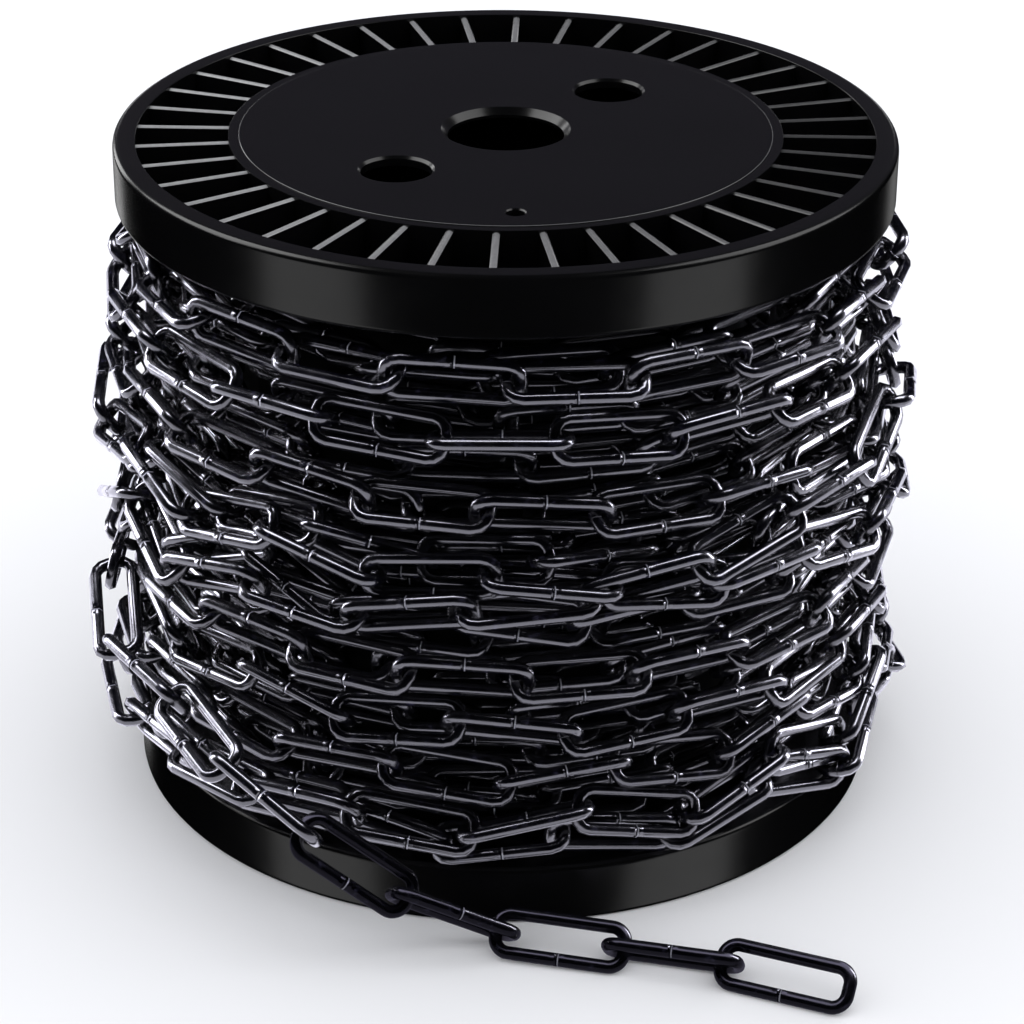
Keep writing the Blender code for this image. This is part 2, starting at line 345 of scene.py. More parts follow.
def model_flange_body():
    """Rim, ring-shaped recess, hub with its slightly raised disc, hollow inside and spigot."""
    bpy.ops.mesh.primitive_cylinder_add(
        vertices=FLANGE_SIDES, radius=FLANGE_RADIUS, depth=RIM_HEIGHT,
        location=(0, 0, RIM_HEIGHT / 2))
    flange = new_piece("flange_moulding")
    bpy.ops.object.mode_set(mode="EDIT")
    pick(flange, "FACE", faces_up(0.0, FLANGE_RADIUS))
    bpy.ops.mesh.inset(thickness=FLANGE_RADIUS - RECESS_RADIUS)
    bpy.ops.mesh.inset(thickness=RECESS_RADIUS - HUB_RADIUS)
    bpy.ops.transform.translate(value=(0, 0, -DISC_STEP))
    bpy.ops.mesh.inset(thickness=HUB_RADIUS - DISC_RADIUS)
    pull(0, 0, DISC_STEP)
    pick(flange, "FACE", faces_up(HUB_RADIUS, RECESS_RADIUS))
    pull(0, 0, -(RIM_HEIGHT - WALL))
    bpy.ops.transform.resize(value=(1, 1, 0), center_override=(0, 0, WALL))
    pick(flange, "FACE", faces_up(0.0, FLANGE_RADIUS, sign=-1))
    bpy.ops.mesh.inset(thickness=FLANGE_RADIUS - SPIGOT_RADIUS)
    bpy.ops.mesh.inset(thickness=SPIGOT_RADIUS - SPIGOT_INNER_RADIUS)
    pull(0, 0, WALL)
    pull(0, 0, 0)
    widen = HUB_INNER_RADIUS / SPIGOT_INNER_RADIUS
    bpy.ops.transform.resize(value=(widen, widen, 1), center_override=(0, 0, WALL))
    pull(0, 0, RIM_HEIGHT - 2 * WALL)
    pick(flange, "FACE", faces_up(SPIGOT_INNER_RADIUS, SPIGOT_RADIUS, sign=-1))
    pull(0, 0, -SPIGOT_LENGTH)
    roundings = (
        (FLANGE_RADIUS, RIM_HEIGHT, RIM_ROUNDING, 4),
        (FLANGE_RADIUS, 0.0, RIM_ROUNDING, 4),
        (RECESS_RADIUS, RIM_HEIGHT, LIP_ROUNDING, 3),
        (HUB_RADIUS, RIM_HEIGHT - DISC_STEP, HUB_ROUNDING, 2),
        (DISC_RADIUS, RIM_HEIGHT, DISC_ROUNDING, 3),
    )
    for radius, height, width, segments in roundings:
        pick(flange, "EDGE", circle_edges(radius, height))
        bpy.ops.mesh.bevel(offset=width, segments=segments, affect="EDGES")
    bpy.ops.object.mode_set(mode="OBJECT")
    return flange


def model_ribs():
    """Thin radial wall with a crowned top, and its copies round the recess."""
    inner = HUB_RADIUS - RIB_ROOT
    outer = RECESS_RADIUS + RIB_ROOT
    low = WALL - RIB_ROOT
    high = RIM_HEIGHT - RIB_TOP_DROP - CROWN_RISE
    bpy.ops.mesh.primitive_cube_add(
        size=1.0, location=((inner + outer) / 2, 0, (low + high) / 2),
        scale=(outer - inner, RIB_THICKNESS, high - low))
    rib = new_piece("rib")
    bpy.ops.object.mode_set(mode="EDIT")
    pick(rib, "FACE", lambda face: face.normal.z > LEVEL)
    width = 1.0
    for rise, share in RIB_CROWN:
        pull(0, 0, rise)
        bpy.ops.transform.resize(value=(1, share / width, 1), center_override=(0, 0, 0))
        width = share
    bpy.ops.object.mode_set(mode="OBJECT")
    rib.data.transform(Matrix.Rotation(math.radians(FIRST_RIB_AZIMUTH), 4, "Z"))
    ribs = [rib]
    for step in range(1, RIB_COUNT):
        turn = Matrix.Rotation(2 * math.pi * step / RIB_COUNT, 4, "Z")
        ribs.append(copy_piece(rib, "rib_%d" % step, turn))
    return join_pieces(ribs)


def model_hole_cutter(radius, chamfer, reach, azimuth, sides):
    """Round bar with a flared top, which cuts a hole and its chamfer."""
    angle = math.radians(azimuth)
    x, y = reach * math.cos(angle), reach * math.sin(angle)
    start = RIM_HEIGHT - 2 * WALL
    end = RIM_HEIGHT - chamfer
    bpy.ops.mesh.primitive_cylinder_add(
        vertices=sides, radius=radius, depth=end - start, location=(x, y, (start + end) / 2))
    cutter = new_piece("hole_cutter")
    bpy.ops.object.mode_set(mode="EDIT")
    pick(cutter, "FACE", lambda face: face.normal.z > LEVEL)
    pull(0, 0, 2 * chamfer)
    flare = (radius + 2 * chamfer) / radius
    bpy.ops.transform.resize(value=(flare, flare, 1), center_override=(x, y, end))
    bpy.ops.object.mode_set(mode="OBJECT")
    return cutter


def painted_highlight_share(face):
    """Share of painted highlight, as pale base colour: the crowned rib tops, most of all at the left,
    and the disc's edge.
    """
    middle = face.center
    radius = flat_radius(middle)
    depth = RIM_HEIGHT - middle.z
    if face.normal.z < CROWN_SLOPE or depth > RIB_TOP_DROP + CROWN_RISE:
        return 0.0
    if depth > RIB_TOP_DROP / 2 and HUB_RADIUS < radius < RECESS_RADIUS:
        # Painted highlight on the rib tops, lighter towards -X, the left
        return RIB_PAINTED_HIGHLIGHT - RIB_HIGHLIGHT_SWING * middle.x / radius
    # Painted highlight along the disc's rounded edge
    on_edge = abs(radius - DISC_RADIUS) < DISC_ROUNDING and depth > DISC_EDGE_DEPTH
    return DISC_EDGE_HIGHLIGHT_SHARE if on_edge else 0.0


def model_flange():
    """Whole flange, with the winding side at Z = 0 and the outer face on top."""
    flange = model_flange_body()
    ribs = model_ribs()
    apply_modifier(flange, "BOOLEAN", operation="UNION", solver="EXACT", object=ribs)
    bpy.data.objects.remove(ribs)
    for hole in HOLES:
        cutter = model_hole_cutter(*hole)
        apply_modifier(flange, "BOOLEAN", operation="DIFFERENCE", solver="EXACT", object=cutter)
        bpy.data.objects.remove(cutter)
    finish_shading(flange)
    # Painted highlight: share of pale base colour on the rib tops and the disc's edge, kept on the
    # faces
    rubbed = flange.data.attributes.new("rubbed", "FLOAT", "FACE")
    rubbed.data.foreach_set("value", [painted_highlight_share(face) for face in flange.data.polygons])
    return flange


def place_flanges(plastic):
    """The same moulding on top of the barrel and, turned over, under it."""
    pattern = model_flange()
    on_top = Matrix.Translation(AXIS + Vector((0, 0, REEL_HEIGHT - RIM_HEIGHT)))
    drive_angle = math.radians(DRIVE_AZIMUTH)
    drive_line = Vector((math.cos(drive_angle), math.sin(drive_angle), 0))
    turned = Matrix.Rotation(math.pi, 4, drive_line)
    under = Matrix.Translation(AXIS + Vector((0, 0, RIM_HEIGHT))) @ turned
    for name, node, place in (("moulded_flange_top", "flange_top", on_top),
                              ("moulded_flange_bottom", "flange_bottom", under)):
        flange = copy_piece(pattern, name, place)
        dress(flange, plastic, "reel_plastic", node)
    bpy.data.objects.remove(pattern)


def colour_barrel(plastic):
    """The tube keeps its node and gets its plastic."""
    barrel = frame["nodes"]["barrel"]
    barrel.data.materials.clear()
    barrel.data.materials.append(plastic)


def link_outline(ring, rings):
    """Centre of one wire section and the way it faces: each quarter of them rounds one corner."""
    quarter = rings // 4
    corner, step = divmod(ring, quarter)
    facing = (corner + step / (quarter - 1)) * math.pi / 2
    middle_x = (HALF_LENGTH - CORNER_RADIUS) * (1 if corner in (0, 3) else -1)
    middle_y = (HALF_WIDTH - CORNER_RADIUS) * (1 if corner in (0, 1) else -1)
    bend = CORNER_RADIUS * Vector((math.cos(facing), math.sin(facing), 0))
    return Vector((middle_x, middle_y, 0)) + bend, facing


def model_link(name, rings, sides):
    """One link by hand: a ring of wire whose sections are moved to the link's four corners."""
    bpy.ops.mesh.primitive_torus_add(
        major_segments=rings, minor_segments=sides,
        major_radius=HALF_WIDTH, minor_radius=WIRE_RADIUS)
    link = new_piece(name)
    section = np.arange(rings * sides) // sides
    bpy.ops.object.mode_set(mode="EDIT")
    for ring in range(rings):
        azimuth = 2 * math.pi * ring / rings
        start = Vector((HALF_WIDTH * math.cos(azimuth), HALF_WIDTH * math.sin(azimuth), 0))
        place, facing = link_outline(ring, rings)
        pick(link, "VERT", lambda vert: section[vert.index] == ring)
        bpy.ops.transform.rotate(value=azimuth - facing, orient_axis="Z", center_override=start)
        bpy.ops.transform.translate(value=place - start)
    bpy.ops.object.mode_set(mode="OBJECT")
    bpy.ops.object.shade_smooth()
    return link


def node_frame(node, ahead):
    """Middle of a tail link's node and its turn: long side, width and thin side as columns."""
    points = np.array([vert.co for vert in frame["nodes"][node].data.vertices])
    # A node's triangles are loose, so every corner is in it several times and is counted once
    points = np.unique(points.round(6), axis=0)
    centre = points.mean(0)
    scatter = (points - centre).T @ (points - centre)
    axes = np.linalg.eigh(scatter)[1]
    along = axes[:, 2] * math.copysign(1, axes[:, 2] @ ahead)
    thin = axes[:, 0]
    return centre, np.stack([along, np.cross(thin, along), thin], -1)


def tail_frames():
    """Places and turns of the tail's links, each pointing to the next."""
    names = ["tail_link_%d" % (index + 1) for index in range(TAIL_LINK_COUNT)]
    middles = []
    for name in names:
        low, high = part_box(name)
        middles.append(np.array((low + high) / 2))
    places, turns = [], []
    for index, name in enumerate(names):
        behind, ahead = max(index - 1, 0), min(index + 1, TAIL_LINK_COUNT - 1)
        centre, turn = node_frame(name, middles[ahead] - middles[behind])
        places.append(centre)
        turns.append(turn)
    return np.array(places), np.array(turns)


def drift(chance, layer, azimuth, height):
    """How far each point of the winding wanders from its even height."""
    away = np.zeros(len(height))
    for index, (sway, own) in enumerate(zip(SWAY, OWN_WANDER)):
        here = layer == index
        for waves in SWAY_WAVES:
            climb = chance.uniform(-SWAY_CLIMB, SWAY_CLIMB)
            away[here] += sway / math.sqrt(waves) * np.sin(
                waves * azimuth[here] + climb * height[here] + chance.uniform(*PHASES))
        for _ in range(OWN_WAVE_COUNT):
            cycles = chance.uniform(*OWN_CYCLES)
            away[here] += own * np.sin(cycles * azimuth[here] + chance.uniform(*PHASES))
    from_flange = np.minimum(height - LOW_TURN, HIGH_TURN - height)
    return away * np.clip(DRIFT_AT_FLANGE + from_flange / DRIFT_REACH, 0, 1)


def smoothed(values):
    """Running average of values along the winding."""
    width = 2 * SMOOTHING_REACH + 1
    padded = np.pad(values, SMOOTHING_REACH, mode="edge")
    return np.convolve(padded, np.ones(width) / width, "valid")


def winding_route(chance, end_azimuth):
    """Points close together along the winding, stretch after stretch, about the reel's axis."""
    counts = [int(laps * POINTS_A_TURN) for *_, laps in STRETCHES]
    layer = np.concatenate([np.full(n, s[0]) for n, s in zip(counts, STRETCHES)])
    radius = np.concatenate([np.full(n, s[1]) for n, s in zip(counts, STRETCHES)])
    height = np.concatenate([np.linspace(s[2], s[3], n) for n, s in zip(counts, STRETCHES)])
    azimuth = end_azimuth - 2 * math.pi / POINTS_A_TURN * np.arange(len(radius))[::-1]
    height += drift(chance, layer, azimuth, height)
    height = np.clip(height, LOW_TURN, HIGH_TURN)
    on_edge = radius == EDGE_TURN_RADIUS
    height[on_edge] += EDGE_RISE - EDGE_SAG * np.cos(azimuth[on_edge]) ** 2
    radius[-LIFT_COUNT:] += TAIL_LIFT * np.linspace(0, 1, LIFT_COUNT)
    height[-LIFT_COUNT:] += (TAIL_HEIGHT - height[-1]) * np.linspace(0, 1, LIFT_COUNT)
    radius, height = smoothed(radius), smoothed(height)
    return np.stack([radius * np.cos(azimuth), radius * np.sin(azimuth), height], -1)


def march_back(route, end):
    """Joints one pitch apart, counted back from the end of the route."""
    joints = [end]
    for point in route[::-1]:
        reach = point - joints[-1]
        distance = np.linalg.norm(reach)
        if distance >= PITCH:
            joints.append(joints[-1] + reach / distance * PITCH)
    return np.array(joints[::-1])


def wound_frames(joints, chance):
    """Place and turn of each wound link, alternately flat and on edge, with slow twist."""
    centres = (joints[1:] + joints[:-1]) / 2
    along = joints[1:] - joints[:-1]
    along /= np.linalg.norm(along, axis=1)[:, None]
    outward = centres * [1, 1, 0]
    outward -= (outward * along).sum(1)[:, None] * along
    outward /= np.linalg.norm(outward, axis=1)[:, None]
    side = np.cross(along, outward)
    count = len(centres)
    order = np.arange(count)
    roll = ROLL + chance.normal(0, ROLL_SPREAD, count)
    for wave, swing in ROLL_SWINGS:
        roll += swing * np.sin(order * wave + chance.uniform(*ROLL_PHASES))
    roll = np.radians(roll + 90.0 * (order % 2))
    thin = outward * np.cos(roll)[:, None] + side * np.sin(roll)[:, None]
    return centres, np.stack([along, np.cross(thin, along), thin], -1)


def link_beads():
    """Points along a link's wire, which stand for it while the winding settles."""
    points = []
    for x in np.linspace(-HALF_LENGTH + HALF_WIDTH, HALF_LENGTH - HALF_WIDTH, SIDE_BEADS):
        points += [(x, HALF_WIDTH, 0), (x, -HALF_WIDTH, 0)]
    for end in (1, -1):
        for degrees in END_BEAD_AZIMUTHS:
            angle = math.radians(degrees)
            x = HALF_LENGTH - HALF_WIDTH + HALF_WIDTH * math.cos(angle)
            points.append((end * x, HALF_WIDTH * math.sin(angle), 0))
    return np.array(points)


def near_pairs(points, owner):
    """Pairs of beads near each other, on links that aren't hooked together, found in a grid."""
    cell = np.floor(points / PAIR_REACH).astype(np.int64) + GRID_MIDDLE
    key = (cell[:, 0] * GRID_SIDE + cell[:, 1]) * GRID_SIDE + cell[:, 2]
    order = np.argsort(key, kind="stable")
    ordered = key[order]
    sides = (-1, 0, 1)
    offsets = [(x, y, z) for x in sides for y in sides for z in sides if (x, y, z) >= (0, 0, 0)]
    firsts, seconds = [], []
    for x, y, z in offsets:
        wanted = key + (x * GRID_SIDE + y) * GRID_SIDE + z
        start = np.searchsorted(ordered, wanted, "left")
        found = np.searchsorted(ordered, wanted, "right") - start
        first = np.repeat(np.arange(len(points)), found)
        within = np.arange(found.sum()) - np.repeat(np.cumsum(found) - found, found)
        second = order[within + np.repeat(start, found)]
        keep = np.abs(owner[first] - owner[second]) > 1
        if (x, y, z) == (0, 0, 0):
            keep &= first < second
        firsts.append(first[keep])
        seconds.append(second[keep])
    first, second = np.concatenate(firsts), np.concatenate(seconds)
    near = ((points[first] - points[second]) ** 2).sum(1) < PAIR_REACH ** 2
    return first[near], second[near]


def turn_by(turns, spins):
    """Turn frames by small rotation vectors."""
    angle = np.linalg.norm(spins, axis=1)[:, None]
    axis = spins / np.maximum(angle, NO_LENGTH)
    sine, cosine = np.sin(angle), np.cos(angle)
    columns = []
    for index in (0, 2):
        column = turns[:, :, index]
        across = axis * (axis * column).sum(1)[:, None]
        columns.append(column * cosine + np.cross(axis, column) * sine + across * (1 - cosine))
    along, thin = columns
    along /= np.linalg.norm(along, axis=1)[:, None]
    thin -= (thin * along).sum(1)[:, None] * along
    thin /= np.linalg.norm(thin, axis=1)[:, None]
    return np.stack([along, np.cross(thin, along), thin], -1)


def shortened(vectors, longest):
    """The vectors, with the long ones cut to a greatest length."""
    length = np.linalg.norm(vectors, axis=1)[:, None]
    return vectors * np.minimum(1, longest / np.maximum(length, NO_LENGTH))


class Nudges:
    """Moves and spins that one settling step adds up for every link."""

    def __init__(self, turns, ease, loose):
        self.turns, self.ease, self.loose = turns, ease, loose
        self.moves = np.zeros((len(turns), 3))
        self.spins = np.zeros((len(turns), 3))
        self.count = np.zeros(len(turns))

    def answer(self, links, arms, normals):
        """Spin that a push at the end of an arm gives, and how easily the link yields to it."""
        torque = np.cross(arms, normals)
        turns = self.turns[links]
        local = np.einsum("nji,nj->ni", turns, torque) * self.ease
        spin = np.einsum("nij,nj->ni", turns, local)
        return spin, (1 + (torque * spin).sum(1)) * self.loose[links]

    def add(self, links, normals, spins, sizes):
        """Add pushes of given sizes to the sums of the loose links among them."""
        sizes = sizes * self.loose[links]
        for axis in range(3):
            self.moves[:, axis] += np.bincount(links, sizes * normals[:, axis], len(self.moves))
            self.spins[:, axis] += np.bincount(links, sizes * spins[:, axis], len(self.moves))
        self.count += np.bincount(links, minlength=len(self.moves))

    def push(self, links, arms, normals, depths):
        """Push single links out of something that stands still."""
        spin, yielding = self.answer(links, arms, normals)
        self.add(links, normals, spin, depths / np.maximum(yielding, 1))

    def part(self, one, other, arm_one, arm_other, normals, depths):
        """Push pairs of links apart along their normals."""
        spin_one, yield_one = self.answer(one, arm_one, normals)
        spin_other, yield_other = self.answer(other, arm_other, normals)
        size = depths / np.maximum(yield_one + yield_other, 1)
        self.add(one, normals, spin_one, size)
        self.add(other, normals, spin_other, -size)

    def soften(self):
        """Lessen the sum where many pushes meet in one link."""
        share = 1 / np.maximum(self.count, 1.0) ** CROWDING
        self.moves *= share[:, None]
        self.spins *= share[:, None]


def part_crossings(nudges, points, arms, owner, pairs):
    """Push links apart where their wires run into each other."""
    first, second = pairs
    gap = points[first] - points[second]
    distance = np.sqrt((gap * gap).sum(1))
    hit = distance < 2 * BEAD_RADIUS
    one, other = first[hit], second[hit]
    normals = gap[hit] / np.maximum(distance[hit], NO_LENGTH)[:, None]
    depths = 2 * BEAD_RADIUS - distance[hit]
    nudges.part(owner[one], owner[other], arms[one], arms[other], normals, depths)


def keep_on_reel(nudges, points, arms, owner, outer_limit):
    """Push links off the barrel and the flanges, and back inside the winding's outer limit."""
    radius = np.hypot(points[:, 0], points[:, 1])
    outward = points * [1, 1, 0] / radius[:, None]
    up = np.tile([0.0, 0.0, 1.0], (len(points), 1))
    over_flange = radius < FLANGE_RADIUS + WIRE_RADIUS
    low = RIM_HEIGHT + BEAD_RADIUS
    high = REEL_HEIGHT - RIM_HEIGHT - BEAD_RADIUS
    walls = (
        (outward, BARREL_RADIUS + BEAD_RADIUS - radius),
        (-outward, radius - outer_limit[owner]),
        (up, np.where(over_flange, low - points[:, 2], 0)),
        (-up, np.where(over_flange, points[:, 2] - high, 0)),
    )
    for facing, inside in walls:
        hit = np.flatnonzero(inside > 0)
        nudges.push(owner[hit], arms[hit], facing[hit], inside[hit])


def keep_hooked(nudges, centres, turns):
    """Pull neighbours together where they come unhooked."""
    reach = turns[:, :, 0] * HOOK_REACH
    slip = (centres - reach)[1:] - (centres + reach)[:-1]
    length = np.linalg.norm(slip, axis=1)
    together = slip / np.maximum(length, NO_LENGTH)[:, None]
    row = np.arange(len(centres) - 1)
    nudges.part(row, row + 1, reach[:-1], -reach[1:], together, np.maximum(length - HOOK_SLACK, 0))


def untwist(nudges, turns):
    """Turn neighbours back towards a right angle between them."""
    thin, next_thin = turns[:-1, :, 2], turns[1:, :, 2]
    skew = (thin * next_thin).sum(1)
    excess = np.sign(skew) * np.maximum(np.abs(skew) - SKEW_ALLOWED, 0)
    twist = UNTWISTING * excess[:, None] * np.cross(thin, next_thin)
    nudges.spins[:-1] -= twist * nudges.loose[:-1, None]
    nudges.spins[1:] += twist * nudges.loose[1:, None]


def straighten_row(nudges, centres, stiffness):
    """Move each link towards the middle of its neighbours, in height and off the axis."""
    radius = np.hypot(centres[:, 0], centres[:, 1])
    rise = (centres[:-2, 2] + centres[2:, 2]) / 2 - centres[1:-1, 2]
    bulge = (radius[:-2] + radius[2:]) / 2 - radius[1:-1]
    outward = centres[1:-1] * [1, 1, 0] / radius[1:-1, None]
    moves = rise[:, None] * [0, 0, 1] + bulge[:, None] * outward
    nudges.moves[1:-1] += stiffness * nudges.loose[1:-1, None] * moves


def settle(centres, turns, loose, outer_limit):
    """Let the loose links settle, each hooked to its neighbours and clear of the others."""
    beads = link_beads()
    square = (beads ** 2).mean(0)
    ease = 1 / (square.sum() - square)
    owner = np.repeat(np.arange(len(centres)), len(beads))
    for step in range(SETTLING_STEPS):
        arms = np.einsum("nij,bj->nbi", turns, beads).reshape(-1, 3)
        points = np.repeat(centres, len(beads), axis=0) + arms
        if step % PAIR_REFRESH == 0:
            pairs = near_pairs(points, owner)
        nudges = Nudges(turns, ease, loose)
        part_crossings(nudges, points, arms, owner, pairs)
        nudges.soften()
        walls = Nudges(turns, ease, loose)
        keep_on_reel(walls, points, arms, owner, outer_limit)
        walls.soften()
        nudges.moves += walls.moves
        nudges.spins += walls.spins
        keep_hooked(nudges, centres, turns)
        untwist(nudges, turns)
        fading = 1 - step / (STIFFNESS_FADE * SETTLING_STEPS)
        straighten_row(nudges, centres, ROW_STIFFNESS * max(STIFFNESS_LEFT, fading))
        centres = centres + shortened(nudges.moves, LARGEST_MOVE)
        turns = turn_by(turns, shortened(nudges.spins, LARGEST_SPIN))
    return centres, turns


def outer_limits(centres):
    """How far from the axis each link may reach. The tail and the link that leads to it are free."""
    sideways, backward = (centres[:, :2] / np.hypot(centres[:, 0], centres[:, 1])[:, None]).T
    bulge = BACK_BULGE * np.maximum(0, backward)
    bulge += EDGE_BULGE * sideways ** 2 * (centres[:, 2] < LOW_TURN)
    limits = np.full(len(centres) + TAIL_LINK_COUNT, NO_LIMIT)
    limits[:len(centres) - 1] = OUTER_LIMIT + bulge[:-1]
    return limits


def chain_frames():
    """Places and turns of all links: the wound ones, settled, and then the tail's, as they are."""
    chance = np.random.default_rng(SEED)
    axis = np.array(AXIS)
    tail_places, tail_turns = tail_frames()
    tail_places = tail_places - axis
    start = tail_places[0] - tail_turns[0][:, 0] * (HOOK_REACH + FIT_GAP)
    route = winding_route(chance, math.atan2(start[1], start[0]))
    centres, turns = wound_frames(march_back(route, start), chance)
    limits = outer_limits(centres)
    loose = (np.arange(len(limits)) < len(centres)).astype(float)
    centres, turns = settle(np.concatenate([centres, tail_places]),
                            np.concatenate([turns, tail_turns]), loose, limits)
    weld_shows = (turns[:, :2, 1] * centres[:, :2]).sum(1) > 0
    flip = weld_shows != (chance.random(len(centres)) < WELDS_SHOWN)
    turns[flip, :, 1:] *= -1
    return centres + axis, turns


def lay_links(name, pattern, centres, turns):
    """One mesh of many links, each a copy of the pattern at its place and turn."""
    corners = np.array([vert.co for vert in pattern.data.vertices])
    faces = np.array([face.vertices[:] for face in pattern.data.polygons])
    points = np.einsum("nij,vj->nvi", turns, corners) + centres[:, None]
    shift = np.arange(len(centres)) * len(corners)
    mesh = bpy.data.meshes.new(name)
    mesh.from_pydata(points.reshape(-1, 3), [], (faces[None] + shift[:, None, None]).reshape(-1, 4))
    mesh.shade_smooth()
    from_weld = np.where(corners[:, 1] > 0, corners[:, 0], LINK_LENGTH).astype(np.float32)
    attribute = mesh.attributes.new("from_weld", "FLOAT", "POINT")
    attribute.data.foreach_set("value", np.tile(from_weld, len(centres)))
    chain = bpy.data.objects.new(name, mesh)
    bpy.context.collection.objects.link(chain)
    return chain


def wind_chain(coat):
    """The winding layer by layer, and the tail link by link."""
    centres, turns = chain_frames()
    wound = len(centres) - TAIL_LINK_COUNT
    hidden = model_link("hidden_link", rings=12, sides=5)
    plain = model_link("plain_link", rings=16, sides=6)
    fine = model_link("fine_link", rings=64, sides=16)
    lengths = [laps * 2 * math.pi * radius for _, radius, _, _, laps in STRETCHES[:2]]
    first_end = round(lengths[0] / (2 * HOOK_REACH))
    second_end = round(sum(lengths) / (2 * HOOK_REACH))
    layers = (
        (0, first_end, hidden, "chain_core"),
        (first_end, second_end, plain, "chain_core"),
        (second_end, wound, plain, "chain_layer_outer"),
    )
    for number, (first, last, pattern, node) in enumerate(layers, 1):
        chain = lay_links("wound_chain_layer_%d" % number, pattern, centres[first:last],
                          turns[first:last])
        dress(chain, coat, "chain_coat", node)
    for number in range(1, TAIL_LINK_COUNT + 1):
        kind = "hanging" if number <= HANGING_LINK_COUNT else "lying"
        place = slice(wound + number - 1, wound + number)
        link = lay_links("%s_chain_link_%d" % (kind, number), fine, centres[place], turns[place])
        dress(link, coat, "chain_coat", "tail_link_%d" % number)
    for pattern in (hidden, plain, fine):
        bpy.data.objects.remove(pattern)


def new_material(name, colour, roughness):
    """Principled material with its nodes at hand."""
    material = bpy.data.materials.new(name)
    material.use_nodes = True
    shader = material.node_tree.nodes["Principled BSDF"]
    shader.inputs["Base Color"].default_value = (*colour, 1)
    shader.inputs["Roughness"].default_value = roughness
    return material, shader


def add_node(material, kind, **values):
    """Shader node with values set on its inputs by name."""
    node = material.node_tree.nodes.new(kind)
    for name, value in values.items():
        node.inputs[name.replace("_", " ")].default_value = value
    return node


def carried(material, name):
    """Value that a mesh carries on its faces or points."""
    node = add_node(material, "ShaderNodeAttribute")
    node.attribute_name = name
    return node.outputs["Fac"]


def noise(material, scale, detail, roughness=0.5):
    """Noise on the piece's own object coordinates."""
    place = add_node(material, "ShaderNodeTexCoord")
    pattern = add_node(material, "ShaderNodeTexNoise", Scale=scale, Detail=detail,
                       Roughness=roughness)
    material.node_tree.links.new(place.outputs["Object"], pattern.inputs["Vector"])
    return pattern.outputs["Fac"]


def spread(material, source, low=0.0, high=1.0, from_low=0.3, from_high=0.7):
    """Carry a pattern from one range of values to another."""
    node = add_node(material, "ShaderNodeMapRange", From_Min=from_low, From_Max=from_high,
                    To_Min=low, To_Max=high)
    material.node_tree.links.new(source, node.inputs["Value"])
    return node.outputs["Result"]


def bump(material, height, distance, strength, under=None):
    """Bump of a height pattern, laid over another bump."""
    node = add_node(material, "ShaderNodeBump", Distance=distance, Strength=strength)
    material.node_tree.links.new(height, node.inputs["Height"])
    if under:
        material.node_tree.links.new(under, node.inputs["Normal"])
    return node.outputs["Normal"]


def tint(material, share, one, other):
    """Colour between two colours, by a pattern."""
    node = add_node(material, "ShaderNodeValToRGB")
    node.color_ramp.elements[0].color = (*one, 1)
    node.color_ramp.elements[1].color = (*other, 1)
    material.node_tree.links.new(share, node.inputs["Fac"])
    return node.outputs["Color"]


def profile(material, share, stops, end):
    """Level that starts at nought, follows a pattern by way of its stops and ends at a last level."""
    node = add_node(material, "ShaderNodeValToRGB")
    elements = node.color_ramp.elements
    elements[0].color = (0.0, 0.0, 0.0, 1)
    elements[1].color = (end, end, end, 1)
    for position, level in stops:
        elements.new(position).color = (level, level, level, 1)
    material.node_tree.links.new(share, node.inputs["Fac"])
    return node.outputs["Color"]


def calculate(material, operation, *patterns):
    """Result of a calculation with patterns."""
    node = add_node(material, "ShaderNodeMath")
    node.operation = operation
    for pattern, socket in zip(patterns, node.inputs):
        material.node_tree.links.new(pattern, socket)
    return node.outputs[0]


def blend(material, share, under, over):
    """Lay a plain colour over a coloured pattern, by a share."""
    node = add_node(material, "ShaderNodeMix")
    node.data_type = "RGBA"
    factor, one, other = (socket for socket in node.inputs
                          if socket.identifier in ("Factor_Float", "A_Color", "B_Color"))
    other.default_value = (*over, 1)
    material.node_tree.links.new(share, factor)
    material.node_tree.links.new(under, one)
    return next(socket for socket in node.outputs if socket.identifier == "Result_Color")


def moulded_plastic():
    """Satin black moulded plastic with a faint grain, and a painted highlight in pale base colour on
    the rib tops and the disc's edge.
    """
    material, shader = new_material("black_moulded_plastic", MOULDED_BLACK, roughness=0.3)
    links = material.node_tree.links
    cloud = noise(material, scale=38.0, detail=4.0)
    black = tint(material, spread(material, cloud), MOULDED_DARK, MOULDED_LIGHT)
    speckle = spread(material, noise(material, scale=900.0, detail=4.0), low=0.8)
    # Painted highlight: pale base colour laid on where the faces carry it, broken up by a speckle
    rubbed = calculate(material, "MULTIPLY", carried(material, "rubbed"), speckle)
    links.new(blend(material, rubbed, black, PAINTED_HIGHLIGHT_GREY), shader.inputs["Base Color"])
    satin = spread(material, noise(material, scale=160.0, detail=5.0), low=0.20, high=0.24)
    links.new(satin, shader.inputs["Roughness"])
    grain = noise(material, scale=2600.0, detail=2.0)
    links.new(bump(material, grain, distance=0.00002, strength=0.2), shader.inputs["Normal"])
    return material


def tube_plastic():
    """Dull black plastic of the barrel."""
    material, shader = new_material("black_tube_plastic", TUBE_BLACK, roughness=0.5)
    dull = spread(material, noise(material, scale=90.0, detail=4.0), low=0.42, high=0.6)
    material.node_tree.links.new(dull, shader.inputs["Roughness"])
    return material


